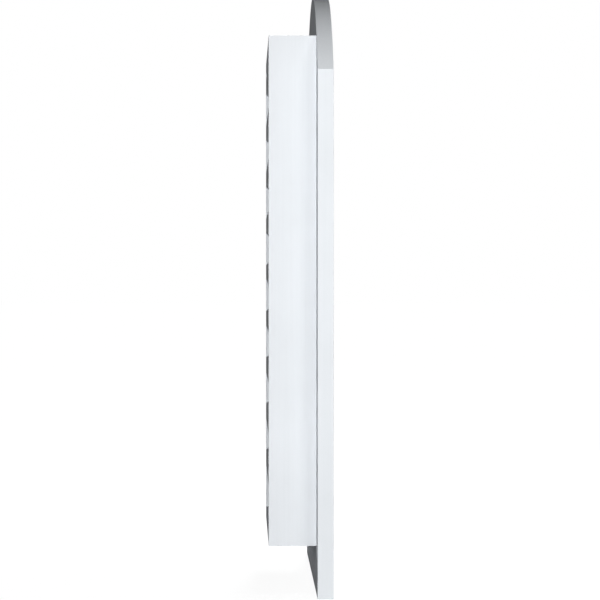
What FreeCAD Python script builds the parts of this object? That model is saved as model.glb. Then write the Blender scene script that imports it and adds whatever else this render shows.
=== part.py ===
"""Arch-top gable vent: a flat trim frame, a louver box behind it, and sloping louvers housed in the box.

X runs across the vent, Y from its face (-Y) back through the wall (+Y), and Z up. The origin is the centre
of the box's outline, on the plane where the back of the frame meets the wall. Millimetres and degrees.
"""

import FreeCAD, Part
import os
import Sketcher

doc = FreeCAD.newDocument("GableVent")

# Driving sizes
SIZES = [
    ("opening_width", 457.2, "clear width of the frame's opening"),
    ("opening_height", 812.8, "clear height of the opening, from its sill to the crown of the arch"),
    ("arch_rise", 95.25, "height of the opening's arch above its spring line"),
    ("trim_width", 88.9, "face width of the frame"),
    ("trim_thickness", 25.4, "thickness of the frame"),
    ("seat_width", 12.7, "how far the frame laps over the outside of the box"),
    ("seat_depth", 6.35, "depth of the rebate in the back of the frame that the box stands in"),
    ("seat_clearance", 0.25, "gap between the box and the wall of that rebate"),
    ("box_depth", 77.0, "how far the box stands back from the wall plane"),
    ("board_thickness", 19.05, "thickness of the boards of the box"),
    ("louver_count", 9, "number of louvers"),
    ("louver_angle", 45, "fall of the louvers towards the face, below the horizontal"),
    ("louver_thickness", 25.4, "thickness of a louver"),
    ("louver_land", 6.6, "square edge left above the upright cut at the back of a louver"),
    ("head_gap", 6.5, "gap between the top board and the top louver"),
    ("sill_gap", 5.0, "gap between the bottom louver's drip edge and the bottom board"),
    ("groove_depth", 6.35, "depth of the louver grooves in the side boards"),
    ("louver_end_gap", 0.3, "gap between a louver's end and the floor of its groove"),
    ("edge_ease", 0.8, "flat taken off each arris that faces the weather"),
]

sheet = doc.addObject("Spreadsheet::Sheet", "Sizes")
for row, (alias, size, meaning) in enumerate(SIZES, 1):
    sheet.set(f"A{row}", alias)
    sheet.set(f"B{row}", str(size))
    sheet.set(f"C{row}", meaning)
    sheet.setAlias(f"B{row}", alias)
doc.recompute()

# Levels and half widths that several pieces share, as expressions on the sheet
HALF_OPENING = "(Sizes.opening_width / 2)"
HALF_FRAME = f"({HALF_OPENING} + Sizes.trim_width)"
HALF_BOX = f"({HALF_OPENING} + Sizes.seat_width)"
HALF_INSIDE = f"({HALF_BOX} - Sizes.board_thickness)"
BOX_TOP = "((Sizes.opening_height + Sizes.seat_width) / 2)"
BOX_BOTTOM = f"(-{BOX_TOP})"
INSIDE_TOP = f"({BOX_TOP} - Sizes.board_thickness)"
INSIDE_BOTTOM = f"({BOX_BOTTOM} + Sizes.board_thickness)"
SILL = f"({BOX_BOTTOM} + Sizes.seat_width)"
FRAME_BOTTOM = f"({SILL} - Sizes.trim_width)"

# The opening's crown is level with the top of the box, and both edges of the head share one centre
CROWN = BOX_TOP
INNER_RADIUS = f"((Sizes.arch_rise ^ 2 + {HALF_OPENING} ^ 2) / (2 * Sizes.arch_rise))"
OUTER_RADIUS = f"({INNER_RADIUS} + Sizes.trim_width)"
ARCH_CENTRE = f"({CROWN} - {INNER_RADIUS})"
INNER_SPRING = f"({CROWN} - Sizes.arch_rise)"
OUTER_SPRING = f"({ARCH_CENTRE} + sqrt({OUTER_RADIUS} ^ 2 - {HALF_FRAME} ^ 2))"

# A louver's section, from the highest corner of its back edge to its drip edge
LAND_RUN = "(Sizes.louver_land * sin(Sizes.louver_angle))"
LAND_RISE = "(Sizes.louver_land * cos(Sizes.louver_angle))"
UPRIGHT_CUT = "((Sizes.louver_thickness - Sizes.louver_land) / cos(Sizes.louver_angle))"
LOUVER_FALL = f"((Sizes.box_depth - {LAND_RUN}) * tan(Sizes.louver_angle))"
LOUVER_HEIGHT = f"({LAND_RISE} + {UPRIGHT_CUT} + {LOUVER_FALL})"

# The louvers are spread evenly between the top board and the bottom board
FIRST_LOUVER = f"({INSIDE_TOP} - Sizes.head_gap)"
LAST_LOUVER = f"({INSIDE_BOTTOM} + Sizes.sill_gap + {LOUVER_HEIGHT})"
LOUVER_SPREAD = f"({FIRST_LOUVER} - {LAST_LOUVER})"
LOUVER_PITCH = f"({LOUVER_SPREAD} / (Sizes.louver_count - 1))"

# A sketch numbers the points of a line or an arc in this order, and its origin is the start of its axis -1
POINTS = ("whole", "start", "end", "centre")
ORIGIN_POINT = (-1, POINTS.index("start"))

SIGN = {"left": "-", "right": "+"}
TOLERANCE = 1e-4


def number(expression):
    return float(sheet.evalExpression(expression))


def new_body(label):
    body = doc.addObject("PartDesign::Body", label)
    body.Label = label
    return body


def origin_feature(body, role):
    return next(feature for feature in body.Origin.OriginFeatures if feature.Role == role)


def new_sketch(body, name, role):
    sketch = body.newObject("Sketcher::SketchObject", f"{body.Label}_{name}")
    sketch.AttachmentSupport = [(origin_feature(body, role), "")]
    sketch.MapMode = "FlatFace"
    return sketch


def dimension(sketch, name, kind, *where_and_size):
    """Adds a named dimension whose value follows an expression, given last."""
    *where, expression = where_and_size
    index = sketch.addConstraint(Sketcher.Constraint(kind, *where, number(expression)))
    sketch.renameConstraint(index, name)
    sketch.setExpression(f"Constraints.{name}", expression)


def dimension_point(sketch, name, kind, element, point, expression):
    """Dimensions a point of a line or an arc from the sketch's origin."""
    dimension(sketch, name, kind, *ORIGIN_POINT, element, POINTS.index(point), expression)


def join(sketch, first, first_point, second, second_point):
    """Holds a point of one line or arc on a point of another."""
    ends = (first, POINTS.index(first_point), second, POINTS.index(second_point))
    sketch.addConstraint(Sketcher.Constraint("Coincident", *ends))


def line(sketch, start, end):
    start_point = FreeCAD.Vector(*start, 0)
    end_point = FreeCAD.Vector(*end, 0)
    return sketch.addGeometry(Part.LineSegment(start_point, end_point))


def outline(sketch, corners):
    """Draws a closed outline, each corner dimensioned across and up from the origin."""
    points = [(number(across), number(up)) for across, up in corners]
    following = points[1:] + points[:1]
    for start, end in zip(points, following):
        line(sketch, start, end)
    for i in range(len(points)):
        join(sketch, i, "end", (i + 1) % len(points), "start")
    for i, (across, up) in enumerate(corners):
        dimension_point(sketch, f"across_{i}", "DistanceX", i, "start", across)
        dimension_point(sketch, f"up_{i}", "DistanceY", i, "start", up)


def rectangle(sketch, left, right, bottom, top):
    outline(sketch, [(left, bottom), (right, bottom), (right, top), (left, top)])


def pad(body, sketch, length, reverse=False, symmetric=False):
    feature = body.newObject("PartDesign::Pad", f"{body.Label}_pad")
    feature.Profile = sketch
    feature.SideType = "Symmetric" if symmetric else "One side"
    feature.Reversed = reverse
    feature.setExpression("Length", length)
    doc.recompute()
    return feature


def pocket(body, sketch, name, depth, reverse):
    """Cuts into the body, and makes sure that material went."""
    before = body.Shape.Volume
    feature = body.newObject("PartDesign::Pocket", f"{body.Label}_{name}")
    feature.Profile = sketch
    feature.Reversed = reverse
    feature.setExpression("Length", depth)
    doc.recompute()
    if body.Shape.Volume > before - TOLERANCE:
        raise RuntimeError(f"{body.Label}: {name} cuts nothing")
    return feature


def ease_edges(body, chosen):
    """Takes a small flat off the edges of the body that chosen picks."""
    base = body.Tip
    names = [f"Edge{i}" for i, edge in enumerate(base.Shape.Edges, 1) if chosen(edge)]
    feature = body.newObject("PartDesign::Chamfer", f"{body.Label}_eased")
    feature.Base = (base, names)
    feature.setExpression("Size", "Sizes.edge_ease")
    doc.recompute()


# Frame


def seat_box(body):
    """Cuts the rebate for the box into the back of a frame piece."""
    sketch = new_sketch(body, "rebate_sketch", "XZ_Plane")
    half_width = f"({HALF_BOX} + Sizes.seat_clearance)"
    bottom = f"({BOX_BOTTOM} - Sizes.seat_clearance)"
    top = f"({BOX_TOP} + Sizes.seat_clearance)"
    rectangle(sketch, f"-{half_width}", half_width, bottom, top)
    pocket(body, sketch, "rebate", "Sizes.seat_depth", reverse=True)


def ease_face(body):
    face = -number("Sizes.trim_thickness")
    ease_edges(body, lambda edge: edge.BoundBox.YMax < face + TOLERANCE)


def finish_frame_piece(body, sketch):
    pad(body, sketch, "Sizes.trim_thickness")
    seat_box(body)
    ease_face(body)
    return body


def frame_stile(side):
    """An upright of the frame, mitred at the top from the outer spring line to the inner one."""
    body = new_body(f"frame_stile_{side}")
    sketch = new_sketch(body, "face_sketch", "XZ_Plane")
    inner = f"{SIGN[side]}{HALF_OPENING}"
    outer = f"{SIGN[side]}{HALF_FRAME}"
    outline(
        sketch,
        [(outer, FRAME_BOTTOM), (inner, FRAME_BOTTOM), (inner, INNER_SPRING), (outer, OUTER_SPRING)],
    )
    return finish_frame_piece(body, sketch)


def frame_bottom_rail(label):
    """The rail between the feet of the stiles."""
    body = new_body(label)
    sketch = new_sketch(body, "face_sketch", "XZ_Plane")
    rectangle(sketch, f"-{HALF_OPENING}", HALF_OPENING, FRAME_BOTTOM, SILL)
    return finish_frame_piece(body, sketch)


def arch(sketch, radius, half_width, spring):
    """An arc over the opening, from its right spring point to its left one, about the shared centre."""
    centre = FreeCAD.Vector(0, number(ARCH_CENTRE), 0)
    right = FreeCAD.Vector(number(half_width), number(spring), 0)
    crown = centre + FreeCAD.Vector(0, number(radius), 0)
    left = FreeCAD.Vector(-number(half_width), number(spring), 0)
    return sketch.addGeometry(Part.Arc(right, crown, left))


def frame_arched_head(label):
    """The curved head, cut from one board to two arcs with a mitre at each foot."""
    body = new_body(label)
    sketch = new_sketch(body, "face_sketch", "XZ_Plane")
    outer_arc = arch(sketch, OUTER_RADIUS, HALF_FRAME, OUTER_SPRING)
    inner_arc = arch(sketch, INNER_RADIUS, HALF_OPENING, INNER_SPRING)
    for side, arc_end in (("right", "start"), ("left", "end")):
        outer_foot = (number(f"{SIGN[side]}{HALF_FRAME}"), number(OUTER_SPRING))
        inner_foot = (number(f"{SIGN[side]}{HALF_OPENING}"), number(INNER_SPRING))
        mitre = line(sketch, outer_foot, inner_foot)
        join(sketch, mitre, "start", outer_arc, arc_end)
        join(sketch, mitre, "end", inner_arc, arc_end)
    join(sketch, outer_arc, "centre", inner_arc, "centre")
    dimension_point(sketch, "centre_across", "DistanceX", inner_arc, "centre", "0")
    dimension_point(sketch, "centre_up", "DistanceY", inner_arc, "centre", ARCH_CENTRE)
    dimension(sketch, "inner_radius", "Radius", inner_arc, INNER_RADIUS)
    dimension(sketch, "outer_radius", "Radius", outer_arc, OUTER_RADIUS)
    for arc, name, half_width in ((inner_arc, "inner", HALF_OPENING), (outer_arc, "outer", HALF_FRAME)):
        dimension_point(sketch, f"{name}_right", "DistanceX", arc, "start", half_width)
        dimension_point(sketch, f"{name}_left", "DistanceX", arc, "end", f"-{half_width}")
    return finish_frame_piece(body, sketch)


# Louvers


def louver_section(sketch):
    """Draws a louver across its length: a square-edged board on the slope, cut upright at front and back.

    The sketch's upright axis is the plane of the front cut, and the highest corner lies on its level axis.
    """
    cut_top = f"-{LAND_RISE}"
    front_cut_bottom = f"{LAND_RISE} - {LOUVER_HEIGHT}"
    outline(
        sketch,
        [
            ("Sizes.box_depth", cut_top),
            ("Sizes.box_depth", f"{cut_top} - {UPRIGHT_CUT}"),
            (LAND_RUN, f"-{LOUVER_HEIGHT}"),
            ("0", front_cut_bottom),
            ("0", f"{front_cut_bottom} + {UPRIGHT_CUT}"),
            (f"Sizes.box_depth - {LAND_RUN}", "0"),
        ],
    )


def louver(label, place):
    """One louver, its ends standing in the grooves of the two side boards."""
    body = new_body(label)
    sketch = new_sketch(body, "section_sketch", "YZ_Plane")
    louver_section(sketch)
    length = f"2 * ({HALF_INSIDE} + Sizes.groove_depth - Sizes.louver_end_gap)"
    pad(body, sketch, length, symmetric=True)
    nose = number(LAND_RUN)
    ease_edges(body, lambda edge: edge.BoundBox.YMax < nose + TOLERANCE and edge.BoundBox.XLength > nose)
    body.setExpression("Placement.Base.z", f"{FIRST_LOUVER} - {place} * {LOUVER_PITCH}")
    return body


# Box


def box_side(side):
    """A side board, with a groove for each louver in its inner face."""
    body = new_body(f"box_side_{side}")
    sketch = new_sketch(body, "side_sketch", "YZ_Plane")
    rectangle(sketch, "-Sizes.seat_depth", "Sizes.box_depth", BOX_BOTTOM, BOX_TOP)
    pad(body, sketch, "Sizes.board_thickness", reverse=side == "left")
    groove_sketch = new_sketch(body, "groove_sketch", "YZ_Plane")
    groove_sketch.setExpression("AttachmentOffset.Base.y", FIRST_LOUVER)
    louver_section(groove_sketch)
    groove = pocket(body, groove_sketch, "groove", "Sizes.groove_depth", reverse=side == "right")
    grooves = body.newObject("PartDesign::LinearPattern", f"{body.Label}_grooves")
    grooves.Originals = [groove]
    grooves.Direction = (origin_feature(body, "Z_Axis"), [""])
    grooves.Reversed = True
    grooves.setExpression("Length", LOUVER_SPREAD)
    grooves.setExpression("Occurrences", "Sizes.louver_count")
    body.Tip = grooves
    body.setExpression("Placement.Base.x", f"{SIGN[side]}{HALF_INSIDE}")
    return body


def box_board(label, bottom):
    """A level board between the two sides, at the top or bottom of the box."""
    body = new_body(label)
    sketch = new_sketch(body, "end_sketch", "YZ_Plane")
    rectangle(sketch, "-Sizes.seat_depth", "Sizes.box_depth", bottom, f"{bottom} + Sizes.board_thickness")
    pad(body, sketch, f"2 * {HALF_INSIDE}", symmetric=True)
    return body


pieces = [
    frame_stile("left"),
    frame_stile("right"),
    frame_bottom_rail("frame_bottom_rail"),
    frame_arched_head("frame_arched_head"),
    box_side("left"),
    box_side("right"),
    box_board("box_top", INSIDE_TOP),
    box_board("box_bottom", BOX_BOTTOM),
]
for place in range(int(number("Sizes.louver_count"))):
    pieces.append(louver(f"louver_{place + 1:02d}", place))

doc.recompute()

# Every feature has to be sound before anything is written
for feature in doc.Objects:
    if "Invalid" in feature.State or "Error" in feature.State:
        raise RuntimeError(f"{feature.Label} failed: {feature.State}")
for piece in pieces:
    if piece.Shape.isNull() or not piece.Shape.isValid() or len(piece.Shape.Solids) != 1:
        raise RuntimeError(f"{piece.Label} is not one sound solid")

os.makedirs("parts", exist_ok=True)
for piece in pieces:
    piece.Shape.exportStep(f"parts/{piece.Label}.step")
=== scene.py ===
"""White arch-top gable vent on a pale studio floor, seen along its width with its face to the right.

Metres, in the vent's own frame: X runs across it, Y from its face back through the wall, and Z up.
"""

import math

import bpy
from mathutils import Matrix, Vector


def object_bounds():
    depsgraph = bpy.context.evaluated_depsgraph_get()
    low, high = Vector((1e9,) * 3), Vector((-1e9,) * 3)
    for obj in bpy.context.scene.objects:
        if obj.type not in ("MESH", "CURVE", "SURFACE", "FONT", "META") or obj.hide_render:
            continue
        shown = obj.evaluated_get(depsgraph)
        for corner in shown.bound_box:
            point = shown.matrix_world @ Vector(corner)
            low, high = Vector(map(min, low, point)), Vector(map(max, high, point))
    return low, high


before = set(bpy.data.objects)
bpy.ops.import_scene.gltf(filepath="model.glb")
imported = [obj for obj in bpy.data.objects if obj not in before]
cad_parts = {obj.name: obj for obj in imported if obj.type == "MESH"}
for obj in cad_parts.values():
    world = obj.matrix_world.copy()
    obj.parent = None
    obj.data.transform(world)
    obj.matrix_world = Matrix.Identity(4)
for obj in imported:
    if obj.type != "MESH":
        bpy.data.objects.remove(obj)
cad_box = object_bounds()
bpy.ops.object.select_all(action="DESELECT")

MM = 0.001
ALONG = {"across": Vector((1, 0, 0)), "through": Vector((0, 1, 0)), "up": Vector((0, 0, 1))}
LOUVER_SLOPE = math.radians(45)
LOUVER_FACE = Vector((0, -math.sin(LOUVER_SLOPE), math.cos(LOUVER_SLOPE)))

# Board colours: the rolled skin of the wide faces, the sawn edges, and how dark the painted shade in a
# pit of those is
TRIM_SKIN = (0.845, 0.880, 0.915)
TRIM_CUT = (0.845, 0.878, 0.910)
# The box and louver boards are a little darker than the frame's: painted shade on the box and its louvers
SHADED_BOX_SKIN = (0.820, 0.848, 0.878)
SHADED_BOX_CUT = (0.815, 0.843, 0.872)
PIT_PAINTED_SHADE = 0.72

# Board patterns, in grains to the metre; along the board, streaks have only a share of theirs
CLOUDS = 7.0
HANDLING = 18.0
BLADE_MARKS = 190.0
STREAKS = 260.0
STREAKS_LENGTHWISE = 0.012
PEBBLES = 1500.0
PORES = 1700.0

# Board relief, from the rolled skin to the open cells of a sawn edge
PEBBLE_DEPTH = 0.02 * MM
DIE_LINE_DEPTH = 0.04 * MM
BLADE_DEPTH = 0.05 * MM
CELL_DEPTH = 0.08 * MM
RELIEF_STRENGTH = 0.5

# Board gloss: almost none
PVC_IOR = 1.53
PVC_GLOSS = 0.002

# Floor, a hair below the vent: it glows less near the vent, so that the shadow shows there
FLOOR_LEVEL = cad_box[0].z - 0.2 * MM
FLOOR_WIDTH = 120
FLOOR_GREY = (0.40, 0.40, 0.40)
NEAR_VENT = 0.8
CLEAR_OF_VENT = 3.0
NEAR_GLOW = 0.90
CLEAR_GLOW = 1.0

# Strength of the even light from all round
AMBIENT = 0.006

# Where Blender's mix node has its factor, its two colours and the colour that it gives
MIX_FACTOR = 0
MIX_FIRST = 6
MIX_SECOND = 7
MIX_RESULT = 2


# Node helpers


class Wiring:
    """A node tree in the making: adds nodes, sets their values and joins them."""

    def __init__(self, tree):
        self.tree = tree

    def node(self, kind, **settings):
        made = self.tree.nodes.new(kind)
        for setting, value in settings.items():
            setattr(made, setting, value)
        return made

    def feed(self, source, target):
        """Joins another node's output to a socket, or sets the socket to a number or a colour."""
        if isinstance(source, bpy.types.NodeSocket):
            self.tree.links.new(source, target)
        elif isinstance(source, tuple):
            target.default_value = (*source, 1)
        else:
            target.default_value = source

    def reckon(self, operation, first, second=0.0):
        """One step of arithmetic on numbers or other nodes' outputs."""
        made = self.node("ShaderNodeMath", operation=operation)
        self.feed(first, made.inputs[0])
        self.feed(second, made.inputs[1])
        return made.outputs["Value"]

    def spread(self, value, low, high, to_low, to_high):
        """Moves a value from one range to another, held at the ends."""
        made = self.node("ShaderNodeMapRange")
        ends = {"From Min": low, "From Max": high, "To Min": to_low, "To Max": to_high}
        for socket, end in ends.items():
            made.inputs[socket].default_value = end
        self.feed(value, made.inputs["Value"])
        return made.outputs["Result"]

    def vary(self, pattern, least, most):
        """Turns a noise, most of which lies between 0.3 and 0.7, into values between two others."""
        return self.spread(pattern, low=0.3, high=0.7, to_low=least, to_high=most)


class Finish(Wiring):
    """A material in the making: its surface shader, and patterns that lie still on the piece."""

    def __init__(self, name):
        self.material = bpy.data.materials.new(name)
        self.material.use_nodes = True
        super().__init__(self.material.node_tree)
        self.surface = self.tree.nodes["Principled BSDF"]
        self.place = self.node("ShaderNodeTexCoord")

    def stretched_place(self, scale):
        """Object coordinates, multiplied along each axis."""
        mapping = self.node("ShaderNodeMapping")
        mapping.inputs["Scale"].default_value = scale
        self.feed(self.place.outputs["Object"], mapping.inputs["Vector"])
        return mapping.outputs["Vector"]

    def along(self, direction, source):
        """How far a point lies, or a normal leans, along a direction."""
        made = self.node("ShaderNodeVectorMath", operation="DOT_PRODUCT")
        made.inputs[1].default_value = direction
        self.feed(self.place.outputs[source], made.inputs[0])
        return made.outputs["Value"]

    def noise(self, grains, detail, roughness=0.5, stretch=(1, 1, 1)):
        """Noise with so many grains to the metre, from 0 to 1."""
        made = self.node("ShaderNodeTexNoise")
        made.inputs["Scale"].default_value = grains
        made.inputs["Detail"].default_value = detail
        made.inputs["Roughness"].default_value = roughness
        self.feed(self.stretched_place(stretch), made.inputs["Vector"])
        return made.outputs["Fac"]

    def foam_cells(self, grains):
        """Distance from the middle of the nearest cell of the foam."""
        made = self.node("ShaderNodeTexVoronoi")
        made.inputs["Scale"].default_value = grains
        self.feed(self.place.outputs["Object"], made.inputs["Vector"])
        return made.outputs["Distance"]

    def bands(self, grains, direction):
        """Wavering bands that cross a direction."""
        made = self.node("ShaderNodeTexWave", bands_direction="X")
        made.inputs["Scale"].default_value = grains
        made.inputs["Distortion"].default_value = 1.4
        made.inputs["Detail"].default_value = 2.0
        strip = self.node("ShaderNodeCombineXYZ")
        self.feed(self.along(direction, "Object"), strip.inputs["X"])
        self.feed(strip.outputs["Vector"], made.inputs["Vector"])
        return made.outputs["Fac"]

    def blend(self, factor, first, second, mode="MIX"):
        """Mixes two colours, each a constant or another node's output."""
        made = self.node("ShaderNodeMix", data_type="RGBA", blend_type=mode)
        self.feed(factor, made.inputs[MIX_FACTOR])
        self.feed(first, made.inputs[MIX_FIRST])
        self.feed(second, made.inputs[MIX_SECOND])
        return made.outputs[MIX_RESULT]

    def grey(self, value):
        """A colour with the same value in each channel."""
        made = self.node("ShaderNodeCombineColor")
        for channel in made.inputs:
            self.feed(value, channel)
        return made.outputs["Color"]

    def relief(self, height, depth, under=None):
        """Raises the surface by a height map, so deep from black to white, over another relief."""
        made = self.node("ShaderNodeBump")
        made.inputs["Distance"].default_value = depth
        made.inputs["Strength"].default_value = RELIEF_STRENGTH
        self.feed(height, made.inputs["Height"])
        if under is not None:
            self.feed(under, made.inputs["Normal"])
        return made.outputs["Normal"]


# Cellular PVC board


def pvc_board(name, skin, cut, length_axis, sheet_face, skin_roughness, cut_roughness):
    """White foamed board: a smooth rolled skin on its two wide faces, and sawn edges that show its cells.

    length_axis is the way the board was drawn out, and sheet_face is square to its wide faces.
    """
    board = Finish(name)
    surface = board.surface.inputs

    # Sawn edges are where the surface turns away from the wide faces
    skin_share = board.reckon("ABSOLUTE", board.along(sheet_face, "Normal"))
    sawn = board.spread(skin_share, low=0.72, high=0.97, to_low=1.0, to_high=0.0)

    # Patterns that more than one of the next parts uses
    drawn_out = tuple(STREAKS_LENGTHWISE if axis else 1.0 for axis in length_axis)
    streaks = board.noise(STREAKS, detail=2.0, roughness=0.55, stretch=drawn_out)
    cells = board.foam_cells(PORES)

    # Colour: large pale clouds, faint streaks along the board, a drier sawn edge, and painted shade in
    # its fine pits
    cloud_shade = board.vary(board.noise(CLOUDS, detail=3.0), least=0.975, most=1.015)
    streak_shade = board.vary(streaks, least=0.988, most=1.008)
    shade = board.reckon("MULTIPLY", cloud_shade, streak_shade)
    # The open cells of a sawn edge are darkened: painted shade in the pits
    pit_painted_shade = board.spread(cells, low=0.0, high=0.32, to_low=0.30, to_high=0.0)
    sawn_pit_painted_shade = board.reckon("MULTIPLY", sawn, pit_painted_shade)
    pit_painted_shade_colour = tuple(PIT_PAINTED_SHADE * value for value in cut)
    body_colour = board.blend(sawn, skin, cut)
    pit_shaded_colour = board.blend(sawn_pit_painted_shade, body_colour, pit_painted_shade_colour)
    shaded_colour = board.blend(1.0, pit_shaded_colour, board.grey(shade), "MULTIPLY")
    board.feed(shaded_colour, surface["Base Color"])

    # Sheen: the skin is rolled, the sawn edge is dry, and handling has changed both a little
    handled = board.vary(board.noise(HANDLING, detail=4.0, roughness=0.6), least=-0.04, most=0.05)
    rolled = board.vary(streaks, least=skin_roughness, most=skin_roughness + 0.03)
    skin_sheen = board.reckon("ADD", rolled, handled)
    dry = board.reckon("MULTIPLY", sawn, cut_roughness - skin_roughness)
    board.feed(board.reckon("ADD", skin_sheen, dry), surface["Roughness"])
    surface["IOR"].default_value = PVC_IOR
    surface["Specular IOR Level"].default_value = PVC_GLOSS

    # Relief: a pebbled skin, die lines along the board, and blade marks and open cells on sawn edges
    blade_marks = board.reckon("MULTIPLY", board.bands(BLADE_MARKS, length_axis), sawn)
    open_cells = board.reckon("MULTIPLY", cells, sawn)
    pebbled = board.relief(board.noise(PEBBLES, detail=2.0), PEBBLE_DEPTH)
    lined = board.relief(streaks, DIE_LINE_DEPTH, pebbled)
    marked = board.relief(blade_marks, BLADE_DEPTH, lined)
    board.feed(board.relief(open_cells, CELL_DEPTH, marked), surface["Normal"])
    return board.material


def trim_finish(name, length_axis):
    """For the frame, whose wide faces look forwards and back."""
    return pvc_board(
        name,
        skin=TRIM_SKIN,
        cut=TRIM_CUT,
        length_axis=length_axis,
        sheet_face=ALONG["through"],
        skin_roughness=0.80,
        cut_roughness=0.88,
    )


def box_finish(name, length_axis, sheet_face):
    """For the box and the louvers in it, in a darker white than the frame: painted shade."""
    return pvc_board(
        name,
        skin=SHADED_BOX_SKIN,
        cut=SHADED_BOX_CUT,
        length_axis=length_axis,
        sheet_face=sheet_face,
        skin_roughness=0.82,
        cut_roughness=0.90,
    )


def dress_boards():
    """Gives each board of the frame, the box and the louvers its finish."""
    upright_trim = trim_finish("trim_pvc_upright", ALONG["up"])
    level_trim = trim_finish("trim_pvc_level", ALONG["across"])
    box_side = box_finish("box_pvc_side", ALONG["up"], ALONG["across"])
    box_level = box_finish("box_pvc_level", ALONG["across"], ALONG["up"])
    louver = box_finish("louver_pvc", ALONG["across"], LOUVER_FACE)
    finishes = {
        "frame_stile": upright_trim,
        "frame_bottom_rail": level_trim,
        "frame_arched_head": level_trim,
        "box_side": box_side,
        "box_top": box_level,
        "box_bottom": box_level,
        "louver": louver,
    }
    for name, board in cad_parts.items():
        finish = next(finishes[piece] for piece in finishes if name.startswith(piece))
        board.data.materials.clear()
        board.data.materials.append(finish)


# Studio


def seen_share(wiring):
    """1 for rays that see the background, straight, mirrored or through glass, and 0 for all others."""
    path = wiring.node("ShaderNodeLightPath")
    mirrored = wiring.reckon("MAXIMUM", path.outputs["Is Camera Ray"], path.outputs["Is Glossy Ray"])
    return wiring.reckon("MAXIMUM", mirrored, path.outputs["Is Transmission Ray"])


def floor_paint():
    """Pale paint that looks white where it is lit, and keeps the vent's shadow."""
    paint = bpy.data.materials.new("pale_floor")
    paint.use_nodes = True
    wiring = Wiring(paint.node_tree)
    wiring.tree.nodes.clear()
    matt = wiring.node("ShaderNodeBsdfDiffuse")
    wiring.feed(FLOOR_GREY, matt.inputs["Color"])
    place = wiring.node("ShaderNodeTexCoord")
    from_vent = wiring.node("ShaderNodeVectorMath", operation="LENGTH")
    wiring.feed(place.outputs["Object"], from_vent.inputs[0])
    whiter = wiring.spread(from_vent.outputs["Value"], NEAR_VENT, CLEAR_OF_VENT, NEAR_GLOW, CLEAR_GLOW)
    glow = wiring.node("ShaderNodeEmission")
    wiring.feed(wiring.reckon("MULTIPLY", seen_share(wiring), whiter), glow.inputs["Strength"])
    both = wiring.node("ShaderNodeAddShader")
    wiring.feed(matt.outputs["BSDF"], both.inputs[0])
    wiring.feed(glow.outputs["Emission"], both.inputs[1])
    output = wiring.node("ShaderNodeOutputMaterial")
    wiring.feed(both.outputs["Shader"], output.inputs["Surface"])
    return paint


def lay_floor():
    """A floor so wide that its edge is lost in the white behind it."""
    bpy.ops.mesh.primitive_plane_add(size=FLOOR_WIDTH, location=(0, 0, FLOOR_LEVEL))
    floor = bpy.context.active_object
    floor.name = "studio_floor"
    floor.data.materials.append(floor_paint())


def hang_backdrop():
    """White behind everything that is looked at, and a faint even light from all round."""
    world = bpy.data.worlds.new("studio")
    bpy.context.scene.world = world
    world.use_nodes = True
    wiring = Wiring(world.node_tree)
    background = wiring.tree.nodes["Background"]
    wiring.feed((1, 1, 1), background.inputs["Color"])
    level = wiring.spread(seen_share(wiring), low=0.0, high=1.0, to_low=AMBIENT, to_high=1.0)
    wiring.feed(level, background.inputs["Strength"])


def softbox(name, place, target, width, height, spread, power):
    """A lamp aimed at a point, with a grid that narrows it to a spread in degrees, out of the picture."""
    lamp = bpy.data.lights.new(name, "AREA")
    lamp.shape = "RECTANGLE"
    lamp.size = width
    lamp.size_y = height
    lamp.spread = math.radians(spread)
    lamp.energy = power
    holder = bpy.data.objects.new(name, lamp)
    bpy.context.scene.collection.objects.link(holder)
    holder.location = place
    aim = Vector(target) - Vector(place)
    holder.rotation_euler = aim.to_track_quat("-Z", "Y").to_euler()
    holder.visible_camera = False


def light_near_side():
    """Lights the side that the camera looks at."""
    # Just behind the back edge, so that it reaches the far side board through the louver gaps
    softbox(
        "key_strip",
        place=(-5.6, 0.16, 0.22),
        target=(-0.3, 0.04, 0.42),
        width=0.025,
        height=0.08,
        spread=120,
        power=67,
    )
    # Near the floor, so that the sides get more of it than the arch
    softbox(
        "low_strip",
        place=(-2.6, 0.03, -0.45),
        target=(-0.3, 0.03, 0.80),
        width=0.04,
        height=0.04,
        spread=120,
        power=4.5,
    )
    # From the front, so that the edge of the frame shades the box a little
    softbox(
        "side_softbox",
        place=(-4.0, -0.95, -0.10),
        target=(-0.3, 0.0, 0.1),
        width=0.9,
        height=0.6,
        spread=140,
        power=13,
    )


def light_other_sides():
    """Lights the sides that other views show."""
    softbox(
        "face_softbox",
        place=(2.0, -3.8, 0.5),
        target=(0, 0, 0.1),
        width=1.4,
        height=1.4,
        spread=90,
        power=36,
    )
    # High enough for the top of the box as well
    softbox(
        "far_softbox",
        place=(4.0, -0.3, 0.95),
        target=(0.3, 0, 0.05),
        width=0.4,
        height=0.5,
        spread=90,
        power=15,
    )
    # Weak, because the back has to stay darker than the louver gaps
    softbox(
        "back_softbox",
        place=(-1.6, 2.4, 0.5),
        target=(0, 0, 0),
        width=1.0,
        height=1.0,
        spread=90,
        power=2.0,
    )
    # Weak, because the arch has to darken towards its top
    softbox(
        "top_softbox",
        place=(0.0, -0.4, 3.6),
        target=(0, 0, 0),
        width=2.0,
        height=2.0,
        spread=60,
        power=0.6,
    )


def set_camera():
    """Level with the middle of the vent, almost along its width, a little behind its back edge."""
    lens = bpy.data.cameras.new("camera")
    lens.lens = 135.68
    lens.sensor_width = 36
    camera = bpy.data.objects.new("camera", lens)
    bpy.context.scene.collection.objects.link(camera)
    camera.location = (-3.89754, 0.11271, 0.00650)
    turn = 0.02362
    tilt = -0.00580
    view = Vector((math.cos(turn) * math.cos(tilt), -math.sin(turn) * math.cos(tilt), math.sin(tilt)))
    camera.rotation_euler = view.to_track_quat("-Z", "Y").to_euler()
    bpy.context.scene.camera = camera


dress_boards()
lay_floor()
hang_backdrop()
light_near_side()
light_other_sides()
set_camera()
bpy.context.scene.view_settings.view_transform = "Standard"
